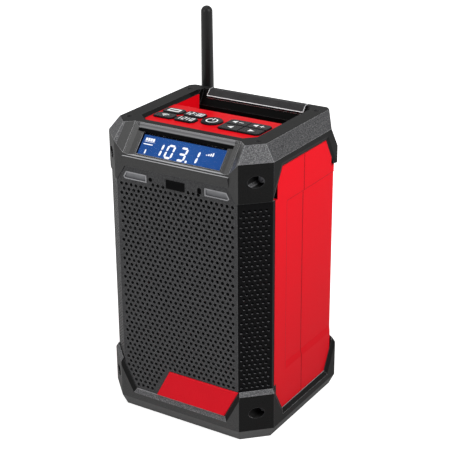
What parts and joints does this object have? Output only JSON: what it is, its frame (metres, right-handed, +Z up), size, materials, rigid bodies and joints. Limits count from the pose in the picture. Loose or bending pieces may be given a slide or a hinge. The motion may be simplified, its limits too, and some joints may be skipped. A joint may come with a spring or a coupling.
{
  "type": "jobsite radio",
  "caption": "Portable jobsite radio: red speaker box in a black protective frame, tilted display, keypad, hand pocket with grip, rear battery bay, whip aerial.",
  "frame": {"origin": "middle of the flat base, on the ground, under the centre of the body", "axes": "+X to the listener's right, the grille faces -Y, +Z up"},
  "size_m": [0.164, 0.15, 0.331],
  "materials": {
    "frame_black": "fine grained satin",
    "grip_grey": "soft matt",
    "shell_red": "fine grained satin",
    "grille_grey": "matt",
    "cloth_black": "matt",
    "clear": "polished",
    "smoked": "polished",
    "lcd_blue": "lit blue",
    "plate_black": "satin",
    "badge_red": "gloss",
    "key_black": "matt",
    "board_green": "solder mask",
    "switch_black": "matt",
    "basket_black": "powder coat",
    "cone_grey": "paper",
    "magnet_iron": "bare",
    "terminal_brass": "bright",
    "screw_steel": "blackened",
    "pin_steel": "bright",
    "whip_rubber": "semi-gloss",
    "collar_steel": "bright"
  },
  "bodies": {
    "chassis": {"upper_frame": "frame_black", "lower_frame": "frame_black", "handle_grip": "grip_grey", "front_housing": "shell_red", "rear_housing": "shell_red", "control_deck": "shell_red", "front_grille": "grille_grey", "grille_cloth": "cloth_black", "speaker_basket": "basket_black", "speaker_cone": "cone_grey", "speaker_magnet": "magnet_iron", "display_window": "clear", "lcd_panel": "lcd_blue", "display_board": "board_green", "status_window_left": "smoked", "status_window_right": "smoked", "centre_plate": "plate_black", "badge": "badge_red", "keypad_board": "board_green", "tact_switches": "switch_black", "main_board": "board_green", "rear_panel": "frame_black", "battery_bay": "frame_black", "terminal_block": "plate_black", "terminal_blades": "terminal_brass", "socket_panel": "plate_black", "port_door_pin": "pin_steel", "antenna": "whip_rubber", "antenna_collar": "collar_steel", "corner_screws": "screw_steel", "rear_screws": "screw_steel"},
    "door": {"port_door": "frame_black"},
    "key_wireless": {"key_wireless": "key_black"},
    "key_display": {"key_display": "key_black"},
    "key_clock": {"key_clock": "key_black"},
    "key_preset": {"key_preset": "key_black"},
    "key_power": {"key_power": "key_black"},
    "key_volume_down": {"key_volume_down": "key_black"},
    "key_volume_up": {"key_volume_up": "key_black"},
    "key_tune_down": {"key_tune_down": "key_black"},
    "key_tune_up": {"key_tune_up": "key_black"}
  },
  "joints": [
    {"name": "key_wireless_press", "type": "slide", "parent": "chassis", "child": "key_wireless", "axis": [0, 0, -1], "range_m": [0, 0.0012], "stiffness_N_per_m": 800, "springref_m": -0.002},
    {"name": "key_display_press", "type": "slide", "parent": "chassis", "child": "key_display", "axis": [0, 0, -1], "range_m": [0, 0.0012], "stiffness_N_per_m": 800, "springref_m": -0.002},
    {"name": "key_clock_press", "type": "slide", "parent": "chassis", "child": "key_clock", "axis": [0, 0, -1], "range_m": [0, 0.0012], "stiffness_N_per_m": 800, "springref_m": -0.002},
    {"name": "key_preset_press", "type": "slide", "parent": "chassis", "child": "key_preset", "axis": [0, 0, -1], "range_m": [0, 0.0012], "stiffness_N_per_m": 800, "springref_m": -0.002},
    {"name": "key_power_press", "type": "slide", "parent": "chassis", "child": "key_power", "axis": [0, 0, -1], "range_m": [0, 0.0012], "stiffness_N_per_m": 800, "springref_m": -0.002},
    {"name": "key_volume_down_press", "type": "slide", "parent": "chassis", "child": "key_volume_down", "axis": [0, 0, -1], "range_m": [0, 0.0012], "stiffness_N_per_m": 800, "springref_m": -0.002},
    {"name": "key_volume_up_press", "type": "slide", "parent": "chassis", "child": "key_volume_up", "axis": [0, 0, -1], "range_m": [0, 0.0012], "stiffness_N_per_m": 800, "springref_m": -0.002},
    {"name": "key_tune_down_press", "type": "slide", "parent": "chassis", "child": "key_tune_down", "axis": [0, 0, -1], "range_m": [0, 0.0012], "stiffness_N_per_m": 800, "springref_m": -0.002},
    {"name": "key_tune_up_press", "type": "slide", "parent": "chassis", "child": "key_tune_up", "axis": [0, 0, -1], "range_m": [0, 0.0012], "stiffness_N_per_m": 800, "springref_m": -0.002},
    {"name": "port_door_hinge", "type": "hinge", "parent": "chassis", "child": "door", "pos_m": [0.05, 0.0687, 0.1779], "axis": [1, 0, 0], "range_deg": [0, 100]}
  ]
}
